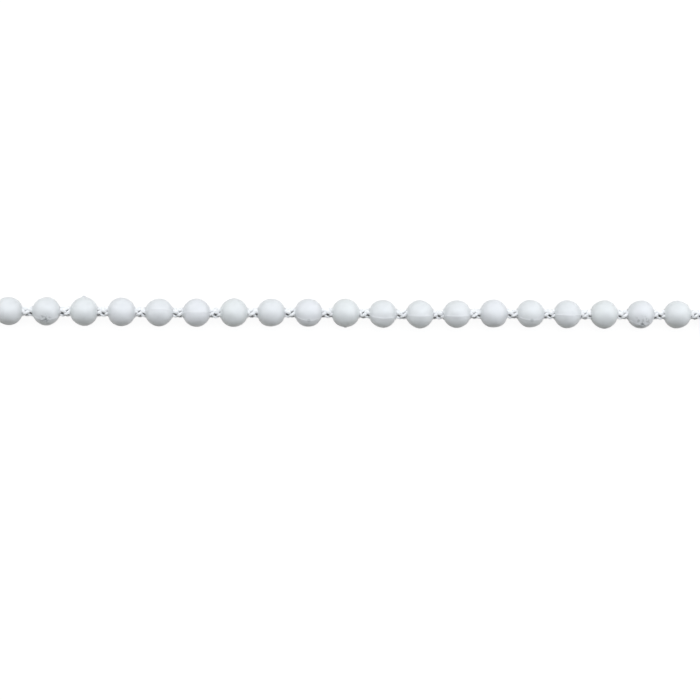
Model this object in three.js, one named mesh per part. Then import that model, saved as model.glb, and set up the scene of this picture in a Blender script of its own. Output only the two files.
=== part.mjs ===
// Roller blind chain: white plastic beads moulded at an even pitch on one continuous braided cord.
// Millimetres, +Z up, +X along the chain. The chain lies straight on z = 0, with its middle over the
// origin, and both of its ends are cut halfway between two beads.

import * as THREE from 'three';

// Beads
const BEAD_DIAMETER = 4.5;
const BEAD_PITCH = 6; // from one bead's centre to the next, along the cord
const MOUTH_LAND = 0.1; // width of the flat ring round each end of a bead's bore
const BORE_CLEARANCE = 0.1; // between the cord and the wall of a bead's bore

// Cord
const CORD_DIAMETER = 1.6;

// Where the cord runs, seen from above: [along the chain, across it]
const CORD_ROUTE = [
  [-63, 0.05],
  [-57, 0.05],
  [-51, 0.05],
  [-45, 0.04],
  [-39, 0.04],
  [-33, -0.02],
  [-27, -0.06],
  [-21, -0.06],
  [-15, -0.02],
  [-9, 0.02],
  [-3, 0.03],
  [3, -0.02],
  [9, -0.12],
  [15, -0.11],
  [21, 0],
  [27, 0.06],
  [33, 0.04],
  [39, 0],
  [45, 0.04],
  [51, 0.05],
  [57, 0.05],
  [63, 0.05],
];

// How finely round shapes are cut into flats
const BEAD_SIDES = 20; // a multiple of four, so a flat of every bead faces straight down
const BEAD_ARC_STEPS = 10; // from mouth to mouth over the bead's side
const CORD_SIDES = 8;
const CORD_STEPS_PER_PITCH = 2; // so the cord bends only at beads' centres and between beads

const plastic = () => new THREE.MeshStandardMaterial({
  color: 0xe6ebee,
  roughness: 0.42,
  metalness: 0,
});

const polyester = () => new THREE.MeshStandardMaterial({
  color: 0xf3f5f7,
  roughness: 0.6,
  metalness: 0,
});

const beadRadius = BEAD_DIAMETER / 2;
const cordRadius = CORD_DIAMETER / 2;

// The cord's centreline, at the height of the beads that carry it.
const route = new THREE.CatmullRomCurve3(
  CORD_ROUTE.map(([along, across]) => new THREE.Vector3(along, across, beadRadius)),
);
const cordLength = route.getLength();

// As many beads as the cord has room for, with the same length of bare cord left at both ends.
const beadCount = Math.floor(cordLength / BEAD_PITCH);
const firstBeadAt = (cordLength - (beadCount - 1) * BEAD_PITCH) / 2;

// One bead, turned about X: the round side from mouth to mouth, then back through the bore.
function beadGeometry() {
  const boreRadius = cordRadius + BORE_CLEARANCE;
  const mouthAngle = Math.asin((boreRadius + MOUTH_LAND) / beadRadius);
  const mouthAt = beadRadius * Math.cos(mouthAngle);
  // The flats, and not the corners between them, lie at the true radius.
  const cornerGrowth = 1 / Math.cos(Math.PI / BEAD_SIDES);

  const profile = [];
  for (let step = 0; step <= BEAD_ARC_STEPS; step += 1) {
    const angle = mouthAngle + ((Math.PI - 2 * mouthAngle) * step) / BEAD_ARC_STEPS;
    const radius = beadRadius * Math.sin(angle) * cornerGrowth;
    profile.push(new THREE.Vector2(radius, -beadRadius * Math.cos(angle)));
  }
  profile.push(new THREE.Vector2(boreRadius * cornerGrowth, mouthAt));
  profile.push(new THREE.Vector2(boreRadius * cornerGrowth, -mouthAt));
  profile.push(profile[0].clone());

  const geometry = new THREE.LatheGeometry(profile, BEAD_SIDES, Math.PI / BEAD_SIDES);
  geometry.rotateZ(-Math.PI / 2);
  return geometry;
}

// The whole cord as one plain tube, with flat cut ends.
function cordGeometry() {
  const section = new THREE.Shape();
  for (let side = 0; side < CORD_SIDES; side += 1) {
    const angle = (2 * Math.PI * side) / CORD_SIDES;
    const x = cordRadius * Math.cos(angle);
    const y = cordRadius * Math.sin(angle);
    if (side === 0) {
      section.moveTo(x, y);
    } else {
      section.lineTo(x, y);
    }
  }
  section.closePath();

  return new THREE.ExtrudeGeometry(section, {
    steps: Math.round((cordLength / BEAD_PITCH) * CORD_STEPS_PER_PITCH),
    extrudePath: route,
  });
}

// A bead at a distance along the cord, in line with the cord there.
function bead(number, distance) {
  const mesh = new THREE.Mesh(beadGeometry(), plastic());
  mesh.name = `bead_${String(number).padStart(2, '0')}`;
  mesh.position.copy(route.getPointAt(distance / cordLength));
  const along = route.getTangentAt(distance / cordLength);
  mesh.rotation.z = Math.atan2(along.y, along.x);
  return mesh;
}

const chain = new THREE.Group();

const cord = new THREE.Mesh(cordGeometry(), polyester());
cord.name = 'braided_cord';
chain.add(cord);

for (let index = 0; index < beadCount; index += 1) {
  chain.add(bead(index + 1, firstBeadAt + index * BEAD_PITCH));
}

export default chain;
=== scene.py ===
"""Roller blind chain: white beads moulded at an even pitch on one braided cord.

The chain lies straight on a pale floor and is seen from above. Every bead and the cord take their
places and sizes from the frame. Lengths are in millimetres, as a maker's drawing gives them, and a
class holds its angles in degrees unless it says otherwise. Meshes are written in metres. The
finishes' scales are per metre and their depths in metres, as shader nodes take them.
"""

import logging
import math
from dataclasses import dataclass, field, replace
from enum import Enum

import bpy
import numpy as np
from mathutils import Matrix, Vector


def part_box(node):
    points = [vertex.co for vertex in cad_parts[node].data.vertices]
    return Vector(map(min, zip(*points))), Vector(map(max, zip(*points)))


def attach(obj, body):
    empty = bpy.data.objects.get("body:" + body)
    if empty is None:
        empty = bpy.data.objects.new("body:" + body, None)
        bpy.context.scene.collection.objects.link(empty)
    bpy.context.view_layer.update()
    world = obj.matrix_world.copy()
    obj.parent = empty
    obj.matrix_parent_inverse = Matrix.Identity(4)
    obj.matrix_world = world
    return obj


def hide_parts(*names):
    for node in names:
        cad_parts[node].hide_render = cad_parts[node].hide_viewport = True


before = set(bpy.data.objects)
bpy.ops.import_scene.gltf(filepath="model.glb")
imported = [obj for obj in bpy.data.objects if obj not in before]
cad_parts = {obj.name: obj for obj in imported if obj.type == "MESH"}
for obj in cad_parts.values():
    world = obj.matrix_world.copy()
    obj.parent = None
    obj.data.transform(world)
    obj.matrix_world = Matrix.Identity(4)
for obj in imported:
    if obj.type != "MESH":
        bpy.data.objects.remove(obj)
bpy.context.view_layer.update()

MM = 0.001
BODY = "root"
SEED = 7
LOG = logging.getLogger("blind_chain")

Colour = tuple[float, float, float, float]

# Where the cord runs, seen from above: along the chain and across it.
CORD_ROUTE = (
    (-63, 0.05),
    (-57, 0.05),
    (-51, 0.05),
    (-45, 0.04),
    (-39, 0.04),
    (-33, -0.02),
    (-27, -0.06),
    (-21, -0.06),
    (-15, -0.02),
    (-9, 0.02),
    (-3, 0.03),
    (3, -0.02),
    (9, -0.12),
    (15, -0.11),
    (21, 0),
    (27, 0.06),
    (33, 0.04),
    (39, 0),
    (45, 0.04),
    (51, 0.05),
    (57, 0.05),
    (63, 0.05),
)


def box_mm(node: str) -> tuple[np.ndarray, np.ndarray]:
    """A CAD node's lowest and highest corner, in millimetres."""
    low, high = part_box(node)
    return np.array(low) / MM, np.array(high) / MM


def smooth_step(values: np.ndarray, start: float, end: float) -> np.ndarray:
    """0 before start, 1 after end and a smooth ramp between; start may be the larger."""
    ramp = np.clip((values - start) / (end - start), 0.0, 1.0)
    return ramp * ramp * (3.0 - 2.0 * ramp)


def merged_steps(*runs: np.ndarray, least: float) -> np.ndarray:
    """Joins runs of positions into one rising run, with none closer together than least.

    Args:
        runs: Positions, in any order. Those of an earlier run are kept before those of a later one.
        least: The smallest distance between two of them.

    Returns:
        The positions that were kept, rising.
    """
    kept: list[float] = []
    for run in runs:
        for value in run:
            if all(abs(value - other) >= least for other in kept):
                kept.append(float(value))
    return np.array(sorted(kept))


@dataclass(frozen=True)
class GateShape:
    """The relief that a broken-off runner leaves on a bead: a rise with a hollow in its middle.

    The rise climbs from its foot to its shoulder, and the hollow sinks from its reach to its bed, a
    share of that reach. Raggedness bends the outline in waves, each with the times that it goes round
    and its share. The darkening at the gate, partly greyer plastic and partly painted shade of the
    hollow, fades between two shares of the foot, and the scuffs thin out from their core, a share of
    how far they reach.
    """

    rise: float
    foot: float
    shoulder: float
    hollow: float = 0.0
    hollow_reach: float = 0.1
    hollow_bed: float = 0.4
    raggedness: float = 0.0
    ragged_waves: tuple[tuple[int, float], ...] = ((3, 0.6), (7, 0.4))
    grey_and_shade: float = 1.0
    grey_and_shade_fade: tuple[float, float] = (1.1, 0.7)
    scuff_reach: float = 0.0
    scuff_core: float = 0.5
    least_fade: float = 0.01

    def height(self, distance: np.ndarray) -> np.ndarray:
        """How far the surface stands out at a distance from the gate's middle."""
        rise = self.rise * smooth_step(distance, self.foot, self.shoulder)
        bed = self.hollow_reach * self.hollow_bed
        return rise - self.hollow * smooth_step(distance, self.hollow_reach, bed)

    def outline(self, bearing: np.ndarray) -> np.ndarray:
        """How far the ragged outline is bent at a bearing, as a factor on distances."""
        waves = sum(share * np.sin(times * bearing) for times, share in self.ragged_waves)
        return 1 + self.raggedness * waves

    def grey_and_shade_at(self, distance: np.ndarray) -> np.ndarray:
        """How dark the gate is at a distance from its middle: partly greyer plastic, partly painted shade.
        """
        outer, inner = self.grey_and_shade_fade
        return self.grey_and_shade * smooth_step(distance, self.foot * outer, self.foot * inner)

    def scuffed(self, distance: np.ndarray) -> np.ndarray:
        """How many scuffs there are at a distance from the gate's middle, from 0 to 1."""
        core = self.scuff_reach * self.scuff_core - self.least_fade
        return smooth_step(distance, self.scuff_reach, core)


class GateMark(Enum):
    """How the runner was broken off a bead."""

    STUB = GateShape(rise=0.19, foot=0.34, shoulder=0.16, hollow=0.03, grey_and_shade=0.3)
    LOW_STUB = GateShape(rise=0.09, foot=0.30, shoulder=0.15, hollow=0.02, grey_and_shade=0.3)
    TORN = GateShape(
        rise=0.09,
        foot=0.42,
        shoulder=0.28,
        hollow=0.22,
        hollow_reach=0.30,
        raggedness=0.35,
        scuff_reach=1.3,
    )
    SCRAPED = replace(TORN, scuff_reach=1.9)
    FLUSH = GateShape(rise=0.012, foot=0.30, shoulder=0.22, grey_and_shade=0.55)


# Each bead from left to right: where its gate points, in degrees round the cord from the far side
# (0) over the top (90) to the near side (180), and how the runner was broken off there.
BEAD_GATES = (
    (30, GateMark.FLUSH),
    (345, GateMark.FLUSH),
    (128, GateMark.TORN),
    (4, GateMark.STUB),
    (350, GateMark.FLUSH),
    (255, GateMark.FLUSH),
    (268, GateMark.FLUSH),
    (8, GateMark.FLUSH),
    (190, GateMark.FLUSH),
    (124, GateMark.FLUSH),
    (176, GateMark.LOW_STUB),
    (290, GateMark.FLUSH),
    (278, GateMark.FLUSH),
    (280, GateMark.FLUSH),
    (352, GateMark.FLUSH),
    (118, GateMark.FLUSH),
    (275, GateMark.FLUSH),
    (172, GateMark.FLUSH),
    (138, GateMark.SCRAPED),
    (12, GateMark.FLUSH),
    (60, GateMark.TORN),
)


@dataclass(frozen=True)
class CordRoute:
    """The cord's centreline: a smooth curve through chosen points at one height."""

    points: tuple[tuple[float, float], ...]
    height: float

    def at(self, along: np.ndarray) -> np.ndarray:
        """The centreline's points at distances along X, as an array of x, y and z."""
        knots = np.array(self.points, float)
        return np.stack([along, self._across(knots, along), np.full(len(along), self.height)], axis=1)

    def heading(self, along: float) -> float:
        """The cord's direction seen from above, in radians from X, at one place along it."""
        step = 0.01
        before, after = self.at(np.array([along - step, along + step]))
        return math.atan2(after[1] - before[1], after[0] - before[0])

    def metres(self) -> list[tuple[float, float, float]]:
        """The chosen points, in metres."""
        return [(x * MM, y * MM, self.height * MM) for x, y in self.points]

    @staticmethod
    def _across(knots: np.ndarray, along: np.ndarray) -> np.ndarray:
        """Y at each distance along X, by a cubic through the chosen points."""
        xs, ys = knots[:, 0], knots[:, 1]
        slopes = np.gradient(ys, xs)
        index = np.clip(np.searchsorted(xs, along, side="right") - 1, 0, len(xs) - 2)
        span = xs[index + 1] - xs[index]
        t = np.clip((along - xs[index]) / span, 0.0, 1.0)
        start = (1 + 2 * t) * (1 - t) ** 2 * ys[index] + t * (1 - t) ** 2 * span * slopes[index]
        end = t * t * (3 - 2 * t) * ys[index + 1] + t * t * (t - 1) * span * slopes[index + 1]
        return start + end


class MeshWriter:
    """Collects vertices in millimetres and faces, and writes them as one smooth-shaded object."""

    def __init__(self, name: str) -> None:
        """Starts an empty mesh of that name."""
        self.name = name
        self.blocks: list[np.ndarray] = []
        self.faces: list[tuple[int, ...]] = []
        self.corner_uvs: list[tuple[float, float]] = []
        self.count = 0

    def add_grid(self, points: np.ndarray, uvs: np.ndarray, wrap_rows: bool) -> None:
        """Adds a grid of points that closes on itself across, and also along if asked.

        Args:
            points: Rows by columns by 3, in millimetres. Columns run round the shape.
            uvs: Rows plus one by columns plus one by 2, the texture place of each corner.
            wrap_rows: Whether the last row joins the first; otherwise both ends are capped.
        """
        rows, columns = points.shape[:2]
        base = self.count
        self.blocks.append(points.reshape(-1, 3))
        self.count += rows * columns
        for row in range(rows if wrap_rows else rows - 1):
            below = (row + 1) % rows
            for column in range(columns):
                beside = (column + 1) % columns
                self.faces.append(
                    (
                        base + row * columns + column,
                        base + row * columns + beside,
                        base + below * columns + beside,
                        base + below * columns + column,
                    )
                )
                self.corner_uvs += [
                    tuple(uvs[row, column]),
                    tuple(uvs[row, column + 1]),
                    tuple(uvs[row + 1, column + 1]),
                    tuple(uvs[row + 1, column]),
                ]
        if not wrap_rows:
            self._add_cap(base, columns, uvs[0, 0], turned=True)
            self._add_cap(base + (rows - 1) * columns, columns, uvs[rows - 1, 0], turned=False)

    def _add_cap(self, start: int, columns: int, uv: np.ndarray, turned: bool) -> None:
        """Closes one end of a grid with a single face."""
        ring = tuple(range(start, start + columns))
        self.faces.append(ring[::-1] if turned else ring)
        self.corner_uvs += [tuple(uv)] * columns

    def write(self, finish: bpy.types.Material) -> bpy.types.Object:
        """Makes the object, with its texture map and material.

        Args:
            finish: The material of all its faces.

        Returns:
            The new object, linked into the scene.
        """
        mesh = bpy.data.meshes.new(self.name)
        mesh.from_pydata((np.concatenate(self.blocks) * MM).tolist(), [], self.faces)
        layer = mesh.uv_layers.new(name="surface")
        layer.data.foreach_set("uv", np.array(self.corner_uvs, np.float32).ravel())
        mesh.materials.append(finish)
        mesh.polygons.foreach_set("use_smooth", [True] * len(self.faces))
        mesh.update()
        piece = bpy.data.objects.new(self.name, mesh)
        bpy.context.scene.collection.objects.link(piece)
        return piece

    @staticmethod
    def write_mask(piece: bpy.types.Object, name: str, values: np.ndarray) -> None:
        """Stores one number per vertex under a name that a material can read."""
        made = piece.data.attributes.new(name, "FLOAT", "POINT")
        made.data.foreach_set("value", values.astype(np.float32).ravel())


class Graph:
    """A node tree while it is being wired."""

    def __init__(self, tree: bpy.types.NodeTree) -> None:
        """Wraps an existing tree."""
        self.tree = tree

    def add(self, kind: str, **settings: object) -> bpy.types.Node:
        """Adds a node and sets its options."""
        node = self.tree.nodes.new(kind)
        for name, value in settings.items():
            setattr(node, name, value)
        return node

    def join(self, source: bpy.types.NodeSocket, target: bpy.types.NodeSocket) -> None:
        """Wires an output to an input."""
        self.tree.links.new(source, target)

    def feed(self, target: bpy.types.NodeSocket, value: object) -> None:
        """Wires a socket to an input, or sets the input to a plain value."""
        if isinstance(value, bpy.types.NodeSocket):
            self.join(value, target)
        else:
            target.default_value = value

    def math(self, operation: str, first: object, second: object = 0.0) -> bpy.types.NodeSocket:
        """Adds a math node on two values and returns its result."""
        node = self.add("ShaderNodeMath", operation=operation)
        self.feed(node.inputs[0], first)
        self.feed(node.inputs[1], second)
        return node.outputs[0]

    def blend(self, amount: object, first: object, second: object) -> bpy.types.NodeSocket:
        """Mixes two colours by an amount and returns the result."""
        node = self.add("ShaderNodeMix", data_type="RGBA")
        self.feed(node.inputs["Factor"], amount)
        self.feed(node.inputs["A"], first)
        self.feed(node.inputs["B"], second)
        return node.outputs["Result"]

    def mask(self, name: str) -> bpy.types.NodeSocket:
        """Reads one of the mesh's masks by its name."""
        return self.add("ShaderNodeAttribute", attribute_name=name).outputs["Fac"]

    def noise(
        self, place: bpy.types.NodeSocket, scale: object, detail: float, dimensions: str = "3D"
    ) -> bpy.types.NodeSocket:
        """Adds a noise texture and returns its value.

        Args:
            place: Where each point lies in the texture.
            scale: How many lumps there are to a unit of length.
            detail: How many finer layers lie over the first one.
            dimensions: "2D" or "3D".

        Returns:
            The noise, mostly between 0.3 and 0.7.
        """
        node = self.add("ShaderNodeTexNoise", noise_dimensions=dimensions)
        node.inputs["Detail"].default_value = detail
        self.join(place, node.inputs["Vector"])
        self.feed(node.inputs["Scale"], scale)
        return node.outputs["Fac"]

    def ramp(
        self, value: bpy.types.NodeSocket, start: float, end: float, top: float = 1.0
    ) -> bpy.types.NodeSocket:
        """Adds a smooth ramp from 0 at start to top at end and returns its value."""
        node = self.add("ShaderNodeMapRange", interpolation_type="SMOOTHSTEP")
        node.inputs["From Min"].default_value = start
        node.inputs["From Max"].default_value = end
        node.inputs["To Max"].default_value = top
        self.join(value, node.inputs["Value"])
        return node.outputs["Result"]

    def bump(self, height: bpy.types.NodeSocket, depth: float) -> bpy.types.NodeSocket:
        """Turns a height into a normal, with a depth in metres."""
        node = self.add("ShaderNodeBump")
        node.inputs["Distance"].default_value = depth
        self.join(height, node.inputs["Height"])
        return node.outputs["Normal"]

    def group(self, tree: bpy.types.NodeTree, **values: object) -> bpy.types.Node:
        """Places a node group and feeds its inputs by name, with _ for a space."""
        node = self.add("ShaderNodeGroup", node_tree=tree)
        for name, value in values.items():
            self.feed(node.inputs[name.replace("_", " ")], value)
        return node


def new_effect(
    name: str,
    inputs: dict[str, tuple[str, object]],
    outputs: dict[str, str],
) -> tuple[Graph, bpy.types.Node, bpy.types.Node]:
    """Starts a shader node group.

    Args:
        name: The group's name.
        inputs: Each input's kind and its usual value, which is None for a vector.
        outputs: Each output's kind.

    Returns:
        The group's graph, and its input and output nodes.
    """
    tree = bpy.data.node_groups.new(name, "ShaderNodeTree")
    for label, (kind, usual) in inputs.items():
        socket = tree.interface.new_socket(name=label, in_out="INPUT", socket_type=f"NodeSocket{kind}")
        if usual is not None:
            socket.default_value = usual
    for label, kind in outputs.items():
        tree.interface.new_socket(name=label, in_out="OUTPUT", socket_type=f"NodeSocket{kind}")
    graph = Graph(tree)
    return graph, graph.add("NodeGroupInput"), graph.add("NodeGroupOutput")


def cloudy_tint() -> bpy.types.NodeTree:
    """A soft, uneven shift between two colours, as in moulded plastic and in yarn.

    Returns:
        The group, with inputs Vector, Scale, Depth, Base and Shade, and outputs Color and Mask.
    """
    graph, entry, out = new_effect(
        "cloudy_tint",
        {
            "Vector": ("Vector", None),
            "Scale": ("Float", 600.0),
            "Depth": ("Float", 0.5),
            "Base": ("Color", (0.8, 0.8, 0.8, 1.0)),
            "Shade": ("Color", (0.7, 0.7, 0.7, 1.0)),
        },
        {"Color": "Color", "Mask": "Float"},
    )
    clear_below, full_above = 0.3, 0.7
    clouds = graph.noise(entry.outputs["Vector"], entry.outputs["Scale"], detail=3.0)
    spread = graph.ramp(clouds, clear_below, full_above)
    mask = graph.math("MULTIPLY", spread, entry.outputs["Depth"])
    tint = graph.blend(mask, entry.outputs["Base"], entry.outputs["Shade"])
    graph.join(tint, out.inputs["Color"])
    graph.join(mask, out.inputs["Mask"])
    return graph.tree


def fine_grain() -> bpy.types.NodeTree:
    """Small unevenness of a surface, with a roughness that follows it.

    Returns:
        The group, with inputs Vector, Scale, Coarse Share, Roughness and Spread, and outputs
        Height and Roughness.
    """
    graph, entry, out = new_effect(
        "fine_grain",
        {
            "Vector": ("Vector", None),
            "Scale": ("Float", 6000.0),
            "Coarse Share": ("Float", 0.5),
            "Roughness": ("Float", 0.4),
            "Spread": ("Float", 0.1),
        },
        {"Height": "Float", "Roughness": "Float"},
    )
    coarse_ratio = 0.22
    mean_noise = 0.5
    place, scale = entry.outputs["Vector"], entry.outputs["Scale"]
    fine = graph.noise(place, scale, detail=2.0)
    coarse = graph.noise(place, graph.math("MULTIPLY", scale, coarse_ratio), detail=1.0)
    share = graph.math("MULTIPLY", coarse, entry.outputs["Coarse Share"])
    height = graph.math("ADD", fine, share)
    centred = graph.math("SUBTRACT", coarse, mean_noise)
    swing = graph.math("MULTIPLY", centred, entry.outputs["Spread"])
    graph.join(height, out.inputs["Height"])
    graph.join(graph.math("ADD", entry.outputs["Roughness"], swing), out.inputs["Roughness"])
    return graph.tree


@dataclass(frozen=True)
class Effects:
    """The shader node groups that more than one finish uses."""

    tint: bpy.types.NodeTree
    grain: bpy.types.NodeTree

    @classmethod
    def build(cls) -> "Effects":
        """Makes each group once."""
        return cls(cloudy_tint(), fine_grain())


def new_finish(name: str) -> tuple[bpy.types.Material, Graph, bpy.types.Node]:
    """Starts a material, and returns it with its graph and its Principled shader."""
    material = bpy.data.materials.new(name)
    material.use_nodes = True
    return material, Graph(material.node_tree), material.node_tree.nodes["Principled BSDF"]


@dataclass(frozen=True)
class MouldedPlastic:
    """The beads' finish: hard white plastic with a satin mould surface."""

    cool_base: Colour = (0.728, 0.742, 0.772, 1.0)
    warm_base: Colour = (0.712, 0.744, 0.743, 1.0)
    shade: Colour = (0.69, 0.715, 0.73, 1.0)
    seam_tone: Colour = (0.735, 0.752, 0.772, 1.0)
    # Darker at the gate: partly greyer plastic, partly painted shade of the torn hollow.
    gate_grey_and_shade: Colour = (0.46, 0.48, 0.49, 1.0)
    scuff_tone: Colour = (0.52, 0.54, 0.55, 1.0)
    scuff_scale: float = 2300.0
    scuff_edge: tuple[float, float] = (0.52, 0.60)
    scuff_detail: float = 3.0
    scuff_depth: float = 7.0
    cloud_scale: float = 520.0
    cloud_depth: float = 0.55
    grain_scale: float = 5200.0
    grain_coarseness: float = 1.2
    grain_depth: float = 0.0000035
    roughness: float = 0.32
    roughness_spread: float = 0.12
    seam_roughness: float = 0.3
    refraction: float = 1.49

    def build(self, effects: Effects) -> bpy.types.Material:
        """Makes the material.

        Args:
            effects: The shared node groups.

        Returns:
            The material, which reads the masks "seam", "gate", "scuff" and "batch" from the mesh.
        """
        material, graph, shader = new_finish("moulded_plastic")
        place = graph.add("ShaderNodeTexCoord").outputs["Object"]
        seam, gate = graph.mask("seam"), graph.mask("gate")
        tint = graph.group(
            effects.tint,
            Vector=place,
            Scale=self.cloud_scale,
            Depth=self.cloud_depth,
            Base=graph.blend(graph.mask("batch"), self.cool_base, self.warm_base),
            Shade=self.shade,
        )
        scuffs = self._scuffs(graph, place)
        grain = graph.group(
            effects.grain,
            Vector=place,
            Scale=self.grain_scale,
            Coarse_Share=self.grain_coarseness,
            Roughness=self.roughness,
            Spread=self.roughness_spread,
        )
        with_seam = graph.blend(seam, tint.outputs["Color"], self.seam_tone)
        with_scuffs = graph.blend(scuffs, with_seam, self.scuff_tone)
        # The gate's darkening is partly greyer plastic and partly painted shade.
        graph.join(graph.blend(gate, with_scuffs, self.gate_grey_and_shade), shader.inputs["Base Color"])
        rubbed = graph.math("MULTIPLY", graph.math("MAXIMUM", seam, gate), self.seam_roughness)
        roughness = graph.math("ADD", grain.outputs["Roughness"], rubbed)
        graph.join(roughness, shader.inputs["Roughness"])
        dents = graph.math("MULTIPLY", scuffs, self.scuff_depth)
        height = graph.math("SUBTRACT", grain.outputs["Height"], dents)
        graph.join(graph.bump(height, self.grain_depth), shader.inputs["Normal"])
        shader.inputs["IOR"].default_value = self.refraction
        return material

    def _scuffs(self, graph: Graph, place: bpy.types.NodeSocket) -> bpy.types.NodeSocket:
        """Small torn marks, only where the mesh's mask "scuff" lets them be."""
        marks = graph.noise(place, self.scuff_scale, self.scuff_detail)
        return graph.math("MULTIPLY", graph.ramp(marks, *self.scuff_edge), graph.mask("scuff"))


@dataclass(frozen=True)
class PolyesterYarn:
    """The cord's finish: glossy white filament yarn.

    Filaments and their wander count the lumps round a strand and along each millimetre of it. Painted
    shade in the grooves between filaments comes in where their noise falls from the first number of its
    edge to the second.
    """

    base: Colour = (0.93, 0.94, 0.945, 1.0)
    shade: Colour = (0.885, 0.895, 0.905, 1.0)
    # Painted shade in the grooves between filaments.
    groove_painted_shade: Colour = (0.74, 0.76, 0.78, 1.0)
    # Painted shade for yarn deep in the braid and for the core.
    deep_painted_shade: Colour = (0.14, 0.143, 0.147, 1.0)
    filaments: float = 26.0
    filament_wander: float = 0.35
    filament_detail: float = 2.0
    filament_depth: float = 0.000018
    groove_shade_edge: tuple[float, float] = (0.5, 0.3)
    groove_shade_strength: float = 0.6
    cloud_scale: float = 900.0
    cloud_depth: float = 0.5
    grain_scale: float = 9000.0
    grain_coarseness: float = 0.5
    grain_share: float = 0.15
    roughness: float = 0.38
    roughness_spread: float = 0.2
    scatter: float = 1.0
    sheen: float = 0.04

    def build(self, effects: Effects) -> bpy.types.Material:
        """Makes the material.

        Args:
            effects: The shared node groups.

        Returns:
            The material. Its texture map runs round a strand in U and along it, in millimetres, in V,
            and the mask "depth" says how deep in the braid the yarn lies, which sets how much painted shade
            darkens it.
        """
        material, graph, shader = new_finish("polyester_yarn")
        place = graph.add("ShaderNodeTexCoord").outputs["Object"]
        strand = graph.add("ShaderNodeUVMap", uv_map="surface").outputs["UV"]
        stretch = graph.add("ShaderNodeMapping")
        stretch.inputs["Scale"].default_value = (self.filaments, self.filament_wander, 1.0)
        graph.join(strand, stretch.inputs["Vector"])
        filament = graph.noise(stretch.outputs["Vector"], 1.0, self.filament_detail, "2D")
        # Painted shade in the grooves between filaments, darker where the filament noise is low.
        groove_shade = graph.ramp(filament, *self.groove_shade_edge, top=self.groove_shade_strength)
        tint = graph.group(
            effects.tint,
            Vector=place,
            Scale=self.cloud_scale,
            Depth=self.cloud_depth,
            Base=self.base,
            Shade=self.shade,
        )
        grain = graph.group(
            effects.grain,
            Vector=place,
            Scale=self.grain_scale,
            Coarse_Share=self.grain_coarseness,
            Roughness=self.roughness,
            Spread=self.roughness_spread,
        )
        with_groove_shade = graph.blend(groove_shade, tint.outputs["Color"], self.groove_painted_shade)
        # Painted shade: yarn deep in the braid, and all of the core, are darkened as if in the shade
        # between strands.
        colour = graph.blend(graph.mask("depth"), with_groove_shade, self.deep_painted_shade)
        graph.join(colour, shader.inputs["Base Color"])
        graph.join(grain.outputs["Roughness"], shader.inputs["Roughness"])
        height = graph.math(
            "ADD", filament, graph.math("MULTIPLY", grain.outputs["Height"], self.grain_share)
        )
        graph.join(graph.bump(height, self.filament_depth), shader.inputs["Normal"])
        # Filaments scatter light more evenly than a smooth white surface does.
        shader.inputs["Diffuse Roughness"].default_value = self.scatter
        shader.inputs["Sheen Weight"].default_value = self.sheen
        return material


@dataclass(frozen=True)
class PaleFloor:
    """The floor: white to the eye, with a faint shadow, and dull where it lights the chain."""

    seen_glow: float = 0.915
    seen_tone: Colour = (0.145, 0.145, 0.145, 1.0)
    bounce_tone: Colour = (0.27, 0.27, 0.22, 1.0)

    def build(self) -> bpy.types.Material:
        """Makes the material, which tells seen rays from rays that light the chain."""
        material = bpy.data.materials.new("pale_floor")
        material.use_nodes = True
        graph = Graph(material.node_tree)
        graph.tree.nodes.remove(graph.tree.nodes["Principled BSDF"])
        out = graph.tree.nodes["Material Output"]
        shown = graph.add("ShaderNodeAddShader")
        glow = graph.add("ShaderNodeEmission")
        glow.inputs["Strength"].default_value = self.seen_glow
        face = graph.add("ShaderNodeBsdfDiffuse")
        face.inputs["Color"].default_value = self.seen_tone
        bounce = graph.add("ShaderNodeBsdfDiffuse")
        bounce.inputs["Color"].default_value = self.bounce_tone
        graph.join(glow.outputs[0], shown.inputs[0])
        graph.join(face.outputs[0], shown.inputs[1])
        graph.join(split_by_ray(graph, bounce.outputs[0], shown.outputs[0]), out.inputs["Surface"])
        return material


def split_by_ray(
    graph: Graph, lighting: bpy.types.NodeSocket, seen: bpy.types.NodeSocket
) -> bpy.types.NodeSocket:
    """Mixes two shaders by what a ray is for.

    Args:
        graph: The graph that holds both of them.
        lighting: The shader for rays that light the chain.
        seen: The shader for camera, glossy and transmission rays.

    Returns:
        The mixed shader.
    """
    path = graph.add("ShaderNodeLightPath")
    shiny = graph.math("MAXIMUM", path.outputs["Is Glossy Ray"], path.outputs["Is Transmission Ray"])
    choice = graph.add("ShaderNodeMixShader")
    graph.join(graph.math("MAXIMUM", path.outputs["Is Camera Ray"], shiny), choice.inputs["Fac"])
    graph.join(lighting, choice.inputs[1])
    graph.join(seen, choice.inputs[2])
    return choice.outputs[0]


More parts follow.
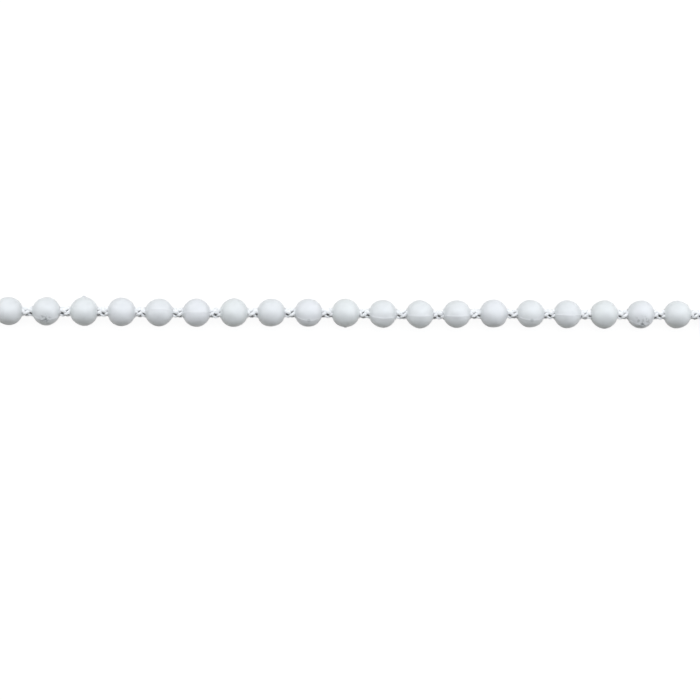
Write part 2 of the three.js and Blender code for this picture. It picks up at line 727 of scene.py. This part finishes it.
@dataclass
class BraidedCord:
    """The cord: flat strands of yarn round a thin core, half of them each way, over one, under one.

    The lay is the length of one full turn of a strand. The braid bulges between beads and is pinched
    inside them, and slack narrows the strands on one side of the cord. A seal closes each cut end and
    covers the ends of the strands. Between the open and the deep radius, painted shade darkens the
    yarn more the deeper it lies, and the thin core is painted all in that shade.
    """

    route: CordRoute
    radius: float
    length: float
    bead_centres: np.ndarray
    bead_reach: float
    strands_each_way: int = 4
    lay: float = 6.545
    row_angle: float = 26.0
    row_wander: float = 6.0
    row_shift: float = -0.45
    first_over: int = -1
    strand_width: float = 0.665
    strand_thickness: float = 0.37
    strand_squareness: float = 0.8
    slack: float = 0.45
    slack_side: float = 174.0
    weave_swing: float = 0.135
    core_radius: float = 0.2
    bulge: float = 0.16
    pinch: float = 0.03
    mouth_overlap: float = 0.15
    section_points: int = 14
    open_step: float = 0.12
    hidden_step: float = 0.5
    wander_waves: tuple[float, ...] = (23.0, 9.0, 4.1)
    angle_wander: float = 0.10
    size_wander: float = 0.07
    reach_wander: float = 0.02
    end_pinch: float = 0.24
    end_taper: float = 0.9
    seal_length: float = 0.5
    seal_cover: float = 0.3
    seal_lumps: tuple[float, float] = (0.04, 0.03)
    seal_outline: tuple[tuple[float, float], ...] = (
        (0.0, 0.78),
        (0.15, 0.95),
        (0.4, 1.02),
        (0.65, 1.01),
        (0.84, 0.9),
        (0.95, 0.7),
        (1.0, 0.38),
    )
    deep_radius: float = 0.45
    open_radius: float = 0.61
    texture_shift: float = 3.7
    name: str = "braided_cord_yarn"

    def stations(self) -> np.ndarray:
        """Distances along X of the strands' rings: close together between beads, wide apart inside."""
        half = self.length / 2 - self.seal_cover
        inner = [centre + side * self.bead_reach for centre in self.bead_centres for side in (-1, 1)]
        edges = [-half, *inner, half]
        rings = [np.array([-half, half])]
        for index, (start, end) in enumerate(zip(edges[:-1], edges[1:])):
            step = self.open_step if index % 2 == 0 else self.hidden_step
            rings.append(np.linspace(start, end, max(2, round((end - start) / step) + 1)))
        closest = self.open_step / 3
        return merged_steps(*rings, least=closest)

    def fullness(self, along: np.ndarray) -> np.ndarray:
        """How full the braid stands at each place: pinched inside a bead, loose between two."""
        nearest = np.min(np.abs(along[:, None] - self.bead_centres[None, :]), axis=1)
        half_pitch = (self.bead_centres[1] - self.bead_centres[0]) / 2
        middle = smooth_step(nearest, self.bead_reach - self.mouth_overlap, half_pitch)
        end = self.length / 2
        gathered = smooth_step(np.abs(along), end - self.end_taper, end - self.seal_length)
        return 1 - self.pinch + (self.pinch + self.bulge) * middle - self.end_pinch * gathered

    def wander(self, along: np.ndarray, waves: np.random.Generator) -> np.ndarray:
        """A slow, uneven wave between about -1 and 1, which differs for every strand."""
        total = np.zeros(len(along))
        for wavelength in self.wander_waves:
            total += np.sin(2 * math.pi * along / wavelength + waves.uniform(0, 2 * math.pi))
        return total / len(self.wander_waves)

    def rows(self, along: np.ndarray) -> np.ndarray:
        """The angle round the cord of the braid's first row of crossings, in radians."""
        drift = self.wander(along, np.random.default_rng(SEED + 1))
        return np.radians(self.row_angle + self.row_wander * drift)

    def strand(self, along: np.ndarray, way: int, index: int, waves: np.random.Generator) -> np.ndarray:
        """One strand's rings.

        Args:
            along: The rings' distances along X.
            way: 1 for a strand that winds one way, -1 for the other.
            index: Which of that way's strands it is.
            waves: Where its unevenness is drawn from.

        Returns:
            Rings by section points by 3, in millimetres.
        """
        advance = 2 * math.pi / self.lay * (along - self.row_shift)
        angle = way * advance + index * 2 * math.pi / self.strands_each_way + self.rows(along)
        angle = angle + self.angle_wander * self.wander(along, waves)
        mid = self.radius - self.strand_thickness / 2 - self.weave_swing
        weave = way * self.first_over * self.weave_swing * np.cos(self.strands_each_way * advance)
        reach = (mid + weave + self.reach_wander * self.wander(along, waves)) * self.fullness(along)
        outward = np.stack([np.zeros(len(along)), np.cos(angle), np.sin(angle)], axis=1)
        line = self.route.at(along) + outward * reach[:, None]
        drawn = 1 - self.slack * np.cos(angle - math.radians(self.slack_side))
        half_width = self.strand_width / 2 * drawn * (1 + self.size_wander * self.wander(along, waves))
        half_thick = self.strand_thickness / 2 * (1 + self.size_wander * self.wander(along, waves))
        section = self._section_angles()
        across = half_width[:, None] * np.cos(section)[None, :]
        bend = np.sin(section)
        rise = half_thick[:, None] * np.sign(bend) * np.abs(bend) ** self.strand_squareness
        # A flat strand follows the cord's round, so its edges lie lower than its middle.
        rise = rise - across**2 / (2 * reach[:, None])
        side, crown = self._axes(along, line, outward)
        return line[:, None, :] + side[:, None, :] * across[..., None] + crown[:, None, :] * rise[..., None]

    @staticmethod
    def _axes(
        along: np.ndarray, line: np.ndarray, outward: np.ndarray
    ) -> tuple[np.ndarray, np.ndarray]:
        """The directions across a strand and out of its flat side, both square to its run."""
        tangent = np.gradient(line, along, axis=0)
        tangent /= np.linalg.norm(tangent, axis=1, keepdims=True)
        crown = outward - tangent * np.sum(outward * tangent, axis=1, keepdims=True)
        crown /= np.linalg.norm(crown, axis=1, keepdims=True)
        return np.cross(tangent, crown), crown

    def core(self, along: np.ndarray) -> np.ndarray:
        """The core's rings, in the same layout as a strand's."""
        section = self._section_angles()
        ring = np.stack([np.zeros(len(section)), np.cos(section), np.sin(section)], axis=1)
        return self.route.at(along)[:, None, :] + ring[None, :, :] * self.core_radius

    def seal(self, side: int) -> np.ndarray:
        """The melted yarn that seals a cut end: a small, slightly lumpy button.

        Args:
            side: 1 for the right end, -1 for the left one.

        Returns:
            Its rings, in the same layout as a strand's.
        """
        out, swell = np.array(self.seal_outline).T
        section = self._section_angles()
        broad, narrow = self.seal_lumps
        lumps = 1 + broad * np.sin(2 * section + side) + narrow * np.sin(5 * section)
        along = self.length / 2 - self.seal_length * (1 - out)
        ring = np.stack([np.zeros(len(section)), lumps * np.cos(section), lumps * np.sin(section)], axis=1)
        radii = swell * self.radius
        rings = self.route.at(side * along)[:, None, :] + ring[None, :, :] * radii[:, None, None]
        return rings if side > 0 else rings[::-1]

    def _section_angles(self) -> np.ndarray:
        """Angles round a strand's section, from its inner side, where the texture's seam is hidden."""
        return -math.pi / 2 + 2 * math.pi * np.arange(self.section_points) / self.section_points

    def depth(self, points: np.ndarray, along: np.ndarray) -> np.ndarray:
        """How much painted shade each point of some rings takes for lying deep in the braid, from 0 to 1.
        """
        offset = points - self.route.at(along)[:, None, :]
        out = np.hypot(offset[..., 1], offset[..., 2]) / self.fullness(along)[:, None]
        return smooth_step(out, self.open_radius, self.deep_radius)

    def build(self, finish: bpy.types.Material) -> bpy.types.Object:
        """Args:
            finish: The yarn's material.

        Returns:
            The cord.
        """
        writer = MeshWriter(self.name)
        waves = np.random.default_rng(SEED)
        along = self.stations()
        across = np.linspace(0, 1, self.section_points + 1)
        lengths = np.append(along, along[-1])
        places = np.stack(np.broadcast_arrays(across[None, :], lengths[:, None]), axis=2)
        bundles = [self.core(along)]
        for way in (1, -1):
            bundles += [self.strand(along, way, index, waves) for index in range(self.strands_each_way)]
        for number, rings in enumerate(bundles):
            writer.add_grid(rings, places + number * self.texture_shift, wrap_rows=False)
        seals = [self.seal(side) for side in (-1, 1)]
        for rings in seals:
            blank = np.zeros((len(rings) + 1, self.section_points + 1, 2))
            writer.add_grid(rings, blank, wrap_rows=False)
        cord = writer.write(finish)
        # Painted shade: the strands and the core darken with depth in the braid; the seals take none.
        depths = [self.depth(rings, along).ravel() for rings in bundles]
        seal_no_shade = [np.zeros(rings.shape[0] * rings.shape[1]) for rings in seals]
        MeshWriter.write_mask(cord, "depth", np.concatenate(depths + seal_no_shade))
        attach(cord, BODY)
        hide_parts("braided_cord")
        self.route.metres()[0]
        self.route.metres()
        return cord


class Draw(Enum):
    """What some of a bead's chance numbers are for. The values keep their seeds apart."""

    COLLARS = 1
    LUMPS = 100
    BATCH = 1000


@dataclass
class MouldedBead:
    """One bead as it left its two-part mould: a ball with a parting line and the mark of its gate.

    A thin collar stands round each mouth, where plastic crept along the cord. The flash is the ridge
    on the parting line, and the two halves are shifted against each other there. The mesh is finest
    round the gate's mark and across the flash, and its lines stay a share of the mark's step apart.
    The mark's step and reach and the flash's half width are in radians.
    """

    number: int
    gate_angle: float
    gate_mark: GateMark
    route: CordRoute
    cord_radius: float
    arc_steps: int = 44
    turn_steps: int = 72
    bore_clearance: float = 0.02
    collar_length: float = 0.13
    collar_spread: float = 0.05
    collar_wall: float = 0.05
    collar_tuck: float = 0.03
    collar_out: tuple[float, ...] = (0.1, 0.35, 0.9, 1.0, 0.8)
    collar_slope: float = 0.6
    collar_round: float = 0.4
    bore_rings: int = 3
    relief_fade: float = 0.93
    flash_height: float = 0.036
    flash_half_width: float = 0.06
    flash_span: float = 2.4
    flash_lines: int = 9
    halves_shift: float = 0.015
    halves_edge: float = 0.02
    unevenness: float = 0.03
    lump_waves: tuple[int, ...] = (2, 3, 4)
    mark_step: float = 0.018
    mark_reach: float = 0.2
    closest_share: float = 0.6
    centre: np.ndarray = field(init=False)
    radius: float = field(init=False)
    mouth_reach: float = field(init=False)

    def __post_init__(self) -> None:
        """Takes the bead's place and size from its CAD node."""
        low, high = box_mm(self.node)
        self.centre = (low + high) / 2
        self.radius = (high[2] - low[2]) / 2
        self.mouth_reach = (high[0] - low[0]) / 2

    @property
    def node(self) -> str:
        """The name of the CAD node that this bead stands for."""
        return f"bead_{self.number:02d}"

    def _mark_steps(self) -> np.ndarray:
        """Close steps of angle on both sides of the gate's middle."""
        return np.arange(-self.mark_reach, self.mark_reach + self.mark_step / 2, self.mark_step)

    def roll_steps(self) -> np.ndarray:
        """Angles round the cord, measured from the gate, with more of them at the parting line."""
        span = np.linspace(-self.flash_span, self.flash_span, self.flash_lines)
        seam = math.pi + span * self.flash_half_width
        coarse = np.linspace(-math.pi / 2, 3 * math.pi / 2, self.turn_steps, endpoint=False)
        closest = self.mark_step * self.closest_share
        return merged_steps(self._mark_steps(), seam, coarse, least=closest)

    def polar_steps(self) -> np.ndarray:
        """Angles from the left mouth over the ball to the right one, with more at the gate."""
        mouth = math.acos(self.mouth_reach / self.radius)
        coarse = np.linspace(mouth, math.pi - mouth, self.arc_steps)
        closest = self.mark_step * self.closest_share
        return merged_steps(coarse[[0, -1]], math.pi / 2 + self._mark_steps(), coarse, least=closest)

    def _draws(self, purpose: Draw) -> np.random.Generator:
        """The bead's own chance numbers for one purpose."""
        return np.random.default_rng(SEED * purpose.value + self.number)

    def unevenness_map(self, polar: np.ndarray, roll: np.ndarray) -> np.ndarray:
        """How the ball strays from a true sphere, which differs for every bead."""
        draws = self._draws(Draw.LUMPS)
        lumps = np.zeros((len(polar), len(roll)))
        for waves in self.lump_waves:
            turn, lean = draws.uniform(0, 2 * math.pi, 2)
            lumps += np.outer(np.cos(waves * polar + lean), np.cos(waves * roll + turn))
        return self.unevenness * lumps * np.sin(polar)[:, None] ** 2

    def surface(self, polar: np.ndarray, roll: np.ndarray) -> tuple[np.ndarray, dict[str, np.ndarray]]:
        """The ball's relief over its ideal sphere.

        Args:
            polar: Angles from the left pole.
            roll: Angles round the cord from the gate.

        Returns:
            The height, polar by roll, and the masks that the material reads, by name.
        """
        gate = self.gate_mark.value
        wrapped = (roll + math.pi) % (2 * math.pi) - math.pi
        to_seam = np.minimum(np.abs(wrapped), math.pi - np.abs(wrapped))[None, :]
        ridge = np.exp(-((to_seam / self.flash_half_width) ** 2)) * np.ones((len(polar), 1))
        half = np.tanh(np.sin(wrapped) / self.halves_edge) * np.cos(wrapped)
        ahead = polar[:, None] - math.pi / 2
        beside = np.sin(polar)[:, None] * wrapped[None, :]
        from_gate = self.radius * np.hypot(ahead, beside)
        ragged = from_gate * gate.outline(np.arctan2(ahead, beside) + self.number)
        height = self.flash_height * ridge + self.halves_shift * half[None, :] + gate.height(ragged)
        # The gate mask carries the gate's darkening, partly greyer plastic and partly painted shade.
        masks = {"seam": ridge, "gate": gate.grey_and_shade_at(ragged), "scuff": gate.scuffed(from_gate)}
        return height + self.unevenness_map(polar, roll), masks

    def profile(self, polar: np.ndarray) -> tuple[np.ndarray, np.ndarray, np.ndarray]:
        """The closed outline that is turned round the cord: ball, right mouth, bore, left mouth.

        Args:
            polar: The ball's angles from the left mouth to the right one.

        Returns:
            The outline's places along the cord, its radii, and how much of the relief each takes.
        """
        ball_x = -self.radius * np.cos(polar)
        ball_r = self.radius * np.sin(polar)
        bore = self.cord_radius + self.bore_clearance
        land = self.mouth_reach
        draws = self._draws(Draw.COLLARS)
        left, right = self.collar_length + draws.uniform(-1, 1, 2) * self.collar_spread
        # A collar from its foot to the bore: how far out along its length, and its radii.
        foot, rim = ball_r[-1] - self.collar_tuck, bore + self.collar_wall
        slope = self.collar_slope * rim + (1 - self.collar_slope) * foot
        lip = bore + self.collar_round * self.collar_wall
        collar_out = np.array(self.collar_out)
        collar_r = np.array([foot, slope, rim, lip, bore])
        right_x = land + right * collar_out
        left_x = -land - left * collar_out[::-1]
        bore_x = np.linspace(land / 2, -land / 2, self.bore_rings)
        along = np.concatenate([ball_x, right_x, bore_x, left_x])
        radii = np.concatenate([ball_r, collar_r, np.full(self.bore_rings, bore), collar_r[::-1]])
        fade = smooth_step(np.abs(ball_x), land, land * self.relief_fade)
        return along, radii, self._padded(fade, len(along))

    @staticmethod
    def _padded(values: np.ndarray, rows: int, fill: float = 0.0) -> np.ndarray:
        """Values on the ball's rows, with a fill on the rows of the collars and the bore."""
        full = np.full((rows, *values.shape[1:]), fill)
        full[: len(values)] = values
        return full

    def placed(
        self,
        polar: np.ndarray,
        roll: np.ndarray,
        outline: tuple[np.ndarray, np.ndarray],
        relief: np.ndarray,
    ) -> np.ndarray:
        """Turns the outline round the cord and puts it in the CAD node's place.

        Args:
            polar: The ball's angles from the left mouth to the right one.
            roll: Angles round the cord from the gate.
            outline: Its places along the cord and its radii.
            relief: How far each point stands out, outline by roll.

        Returns:
            Outline by roll by 3, in millimetres.
        """
        along, radii = outline
        lean = self._padded(-np.cos(polar), len(along))
        rise = self._padded(np.sin(polar), len(along), fill=1.0)
        x = along[:, None] + relief * lean[:, None]
        r = radii[:, None] + relief * rise[:, None]
        angle = roll + math.radians(self.gate_angle)
        local = np.stack([x, r * np.cos(angle)[None, :], r * np.sin(angle)[None, :]], axis=2)
        turn = np.array(Matrix.Rotation(self.route.heading(self.centre[0]), 3, "Z"))
        points = local @ turn.T + self.centre
        # Whatever would stand out underneath lies flat on the floor.
        points[..., 2] = np.maximum(points[..., 2], 0.0)
        return points

    def build(self, finish: bpy.types.Material) -> bpy.types.Object:
        """Makes the bead as one closed mesh in its CAD node's place.

        Args:
            finish: The plastic.

        Returns:
            The bead.
        """
        polar, roll = self.polar_steps(), self.roll_steps()
        height, masks = self.surface(polar, roll)
        along, radii, takes = self.profile(polar)
        rows, columns = len(along), len(roll)
        relief = self._padded(height, rows) * takes[:, None]
        u, v = np.linspace(0, 1, columns + 1), np.linspace(0, 1, rows + 1)
        writer = MeshWriter(f"{self.node}_moulding")
        points = self.placed(polar, roll, (along, radii), relief)
        writer.add_grid(points, np.stack(np.meshgrid(u, v), axis=2), wrap_rows=True)
        bead = writer.write(finish)
        for name, values in masks.items():
            MeshWriter.write_mask(bead, name, self._padded(values, rows) * takes[:, None])
        batch = self._draws(Draw.BATCH).uniform()
        MeshWriter.write_mask(bead, "batch", np.full((rows, columns), batch))
        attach(bead, BODY)
        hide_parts(self.node)
        return bead


@dataclass(frozen=True)
class Softbox:
    """A flat, even lamp that faces the chain's middle.

    Azimuth runs from the far side towards the right, and the reaches are the half angles that the
    lamp fills, all in degrees. The level is how bright the lamp looks, where 1 is white.
    """

    name: str
    azimuth: float
    elevation: float
    reach_across: float
    reach_up: float
    level: float
    tone: tuple[float, float, float]
    distance: float = 800.0

    def build(self) -> bpy.types.Object:
        """Makes the lamp, with the power that gives its level."""
        lamp = bpy.data.lights.new(self.name, "AREA")
        lamp.shape = "RECTANGLE"
        distance = self.distance * MM
        lamp.size = 2 * distance * math.tan(math.radians(self.reach_across))
        lamp.size_y = 2 * distance * math.tan(math.radians(self.reach_up))
        lamp.energy = math.pi * self.level * lamp.size * lamp.size_y
        lamp.color = self.tone
        holder = bpy.data.objects.new(self.name, lamp)
        rise, turn = math.radians(self.elevation), math.radians(self.azimuth)
        flat = math.cos(rise) * distance
        place = Vector((flat * math.sin(turn), flat * math.cos(turn), math.sin(rise) * distance))
        holder.location = place
        holder.rotation_euler = (-place).to_track_quat("-Z", "Y").to_euler()
        bpy.context.scene.collection.objects.link(holder)
        return holder


@dataclass(frozen=True)
class Studio:
    """The floor, the lamps, the sky and the camera."""

    lamps: tuple[Softbox, ...] = (
        Softbox(
            name="overhead",
            azimuth=0.0,
            elevation=71.0,
            reach_across=40.0,
            reach_up=25.0,
            level=1.87,
            tone=(0.95, 0.972, 1.0),
        ),
        Softbox(
            name="window",
            azimuth=35.0,
            elevation=62.0,
            reach_across=18.0,
            reach_up=9.0,
            level=0.75,
            tone=(0.7, 0.8, 1.0),
        ),
        Softbox(
            name="left",
            azimuth=-55.0,
            elevation=15.0,
            reach_across=42.0,
            reach_up=32.0,
            level=1.2,
            tone=(0.98, 0.99, 1.0),
        ),
        Softbox(
            name="right",
            azimuth=70.0,
            elevation=15.0,
            reach_across=35.0,
            reach_up=25.0,
            level=1.9,
            tone=(0.97, 0.98, 1.0),
        ),
    )
    white: Colour = (1.0, 1.0, 1.0, 1.0)
    fill_strength: float = 0.13
    floor_reach: float = 600.0
    view_distance: float = 400.0
    view_centre: tuple[float, float] = (0.735, -5.947)
    view_width: float = 112.89
    view_pan: float = 3.4
    view_roll: float = 0.252
    sensor: float = 36.0

    def build_floor(self) -> bpy.types.Object:
        """Makes the flat floor that the chain lies on."""
        reach = self.floor_reach * MM
        mesh = bpy.data.meshes.new("floor")
        corners = [(-reach, -reach, 0.0), (reach, -reach, 0.0), (reach, reach, 0.0), (-reach, reach, 0.0)]
        mesh.from_pydata(corners, [], [(0, 1, 2, 3)])
        mesh.materials.append(PaleFloor().build())
        floor = bpy.data.objects.new("floor", mesh)
        bpy.context.scene.collection.objects.link(floor)
        return floor

    def build_sky(self) -> bpy.types.World:
        """Makes the even light from all round, which is seen as plain white."""
        world = bpy.data.worlds.new("sky")
        world.use_nodes = True
        graph = Graph(world.node_tree)
        fill = graph.tree.nodes["Background"]
        fill.inputs["Color"].default_value = self.white
        fill.inputs["Strength"].default_value = self.fill_strength
        shown = graph.add("ShaderNodeBackground")
        shown.inputs["Color"].default_value = self.white
        sky = split_by_ray(graph, fill.outputs[0], shown.outputs[0])
        graph.join(sky, graph.tree.nodes["World Output"].inputs["Surface"])
        bpy.context.scene.world = world
        return world

    def build_camera(self, height: float) -> bpy.types.Object:
        """Makes the camera that looks down on the chain.

        Args:
            height: The height of the chain's middle line over the floor, in millimetres.

        Returns:
            The camera, which is also set as the scene's own.
        """
        pan, roll = math.radians(self.view_pan), math.radians(self.view_roll)
        right = Vector((math.cos(pan), 0.0, math.sin(pan)))
        up = Vector((0.0, 1.0, 0.0))
        back = Vector((-math.sin(pan), 0.0, math.cos(pan)))
        rolled_right = right * math.cos(roll) + up * math.sin(roll)
        rolled_up = up * math.cos(roll) - right * math.sin(roll)
        lens = bpy.data.cameras.new("camera")
        lens.sensor_width = self.sensor
        lens.lens = self.sensor * self.view_distance / self.view_width
        camera = bpy.data.objects.new("camera", lens)
        aim = Vector((*self.view_centre, height))
        basis = Matrix((rolled_right, rolled_up, back)).transposed().to_4x4()
        camera.matrix_world = Matrix.Translation((aim + back * self.view_distance) * MM) @ basis
        bpy.context.scene.collection.objects.link(camera)
        bpy.context.scene.camera = camera
        return camera

    def build(self) -> None:
        """Makes everything but the camera, and sets how colours are shown."""
        self.build_floor()
        self.build_sky()
        for lamp in self.lamps:
            lamp.build()
        bpy.context.scene.view_settings.view_transform = "Standard"


def report(piece: bpy.types.Object) -> None:
    """Logs a finished piece and its number of triangles."""
    piece.data.calc_loop_triangles()
    LOG.info("%s: %d triangles", piece.name, len(piece.data.loop_triangles))


def main() -> None:
    """Builds the camera, the cord, the beads and the studio, in that order."""
    logging.basicConfig(level=logging.INFO, format="%(message)s")
    low, high = box_mm("braided_cord")
    route = CordRoute(CORD_ROUTE, (low[2] + high[2]) / 2)
    studio = Studio()
    studio.build_camera(route.height)
    effects = Effects.build()
    plastic = MouldedPlastic().build(effects)
    yarn = PolyesterYarn().build(effects)
    cord_radius = (high[2] - low[2]) / 2
    beads = [
        MouldedBead(number, angle, mark, route, cord_radius)
        for number, (angle, mark) in enumerate(BEAD_GATES, start=1)
    ]
    cord = BraidedCord(
        route=route,
        radius=cord_radius,
        length=high[0] - low[0],
        bead_centres=np.array([bead.centre[0] for bead in beads]),
        bead_reach=beads[0].mouth_reach,
    )
    report(cord.build(yarn))
    for bead in beads:
        report(bead.build(plastic))
    studio.build()


if __name__ == "__main__":
    main()
